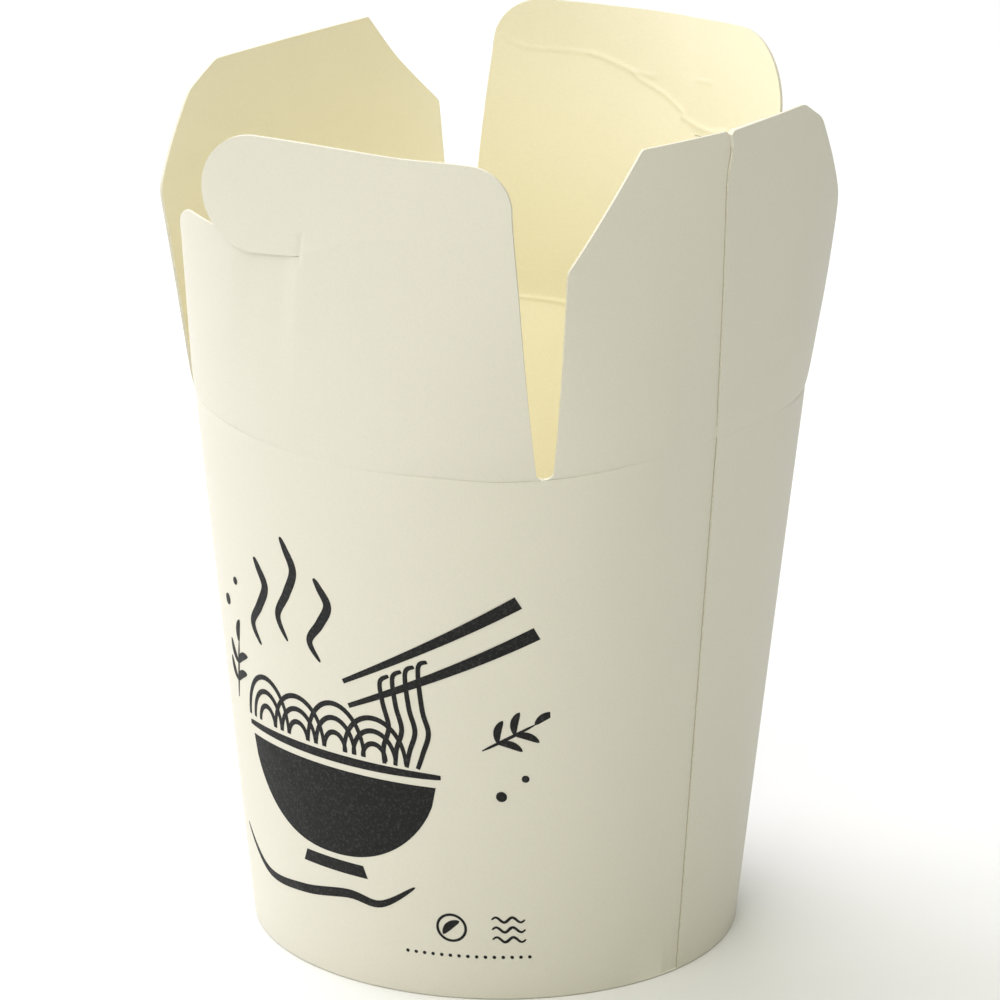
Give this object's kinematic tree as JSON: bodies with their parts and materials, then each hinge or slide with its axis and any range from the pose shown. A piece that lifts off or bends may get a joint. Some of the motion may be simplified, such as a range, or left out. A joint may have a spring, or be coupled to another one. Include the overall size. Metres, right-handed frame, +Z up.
{
  "type": "noodle takeaway box",
  "caption": "Open paperboard takeaway box for noodles: a conical wall on a round recessed base, with hinged dust flaps and closure flaps that have a slit locking tab.",
  "frame": {"origin": "on the floor under the middle of the whole box, open flaps included; the round base is centred 1.6 mm towards -X and 2.0 mm towards +Y of it", "axes": "+Z up through the box; the closure flap with its printed side of the wall faces -Y, and the side with the glued seam faces +X"},
  "size_m": [0.1034, 0.1138, 0.1608],
  "materials": {
    "box_board": "smooth uncoated-looking white-cream paperboard, slightly satin",
    "base_board": "pale yellow coated inside of the paperboard, satin",
    "print_ink": "black flexographic ink on board, slightly satin"
  },
  "bodies": {
    "box": {"wall": "box_board", "base": "base_board"},
    "flap_front": {"flap_front": "box_board"},
    "flap_right": {"flap_right": "box_board"},
    "flap_back": {"flap_back": "box_board"},
    "flap_left": {"flap_left": "box_board"}
  },
  "joints": [
    {"name": "fold_front", "type": "hinge", "parent": "box", "child": "flap_front", "pos_m": [-0.00162, -0.03832, 0.10305], "axis": [-1, 0, 0], "range_deg": [0, 50]},
    {"name": "fold_right", "type": "hinge", "parent": "box", "child": "flap_right", "pos_m": [0.03882, 0.00196, 0.10305], "axis": [0, -1, 0], "range_deg": [0, 96]},
    {"name": "fold_back", "type": "hinge", "parent": "box", "child": "flap_back", "pos_m": [-0.00162, 0.04224, 0.10305], "axis": [1, 0, 0], "range_deg": [0, 48]},
    {"name": "fold_left", "type": "hinge", "parent": "box", "child": "flap_left", "pos_m": [-0.04205, 0.00196, 0.10305], "axis": [0, 1, 0], "range_deg": [0, 84]}
  ]
}
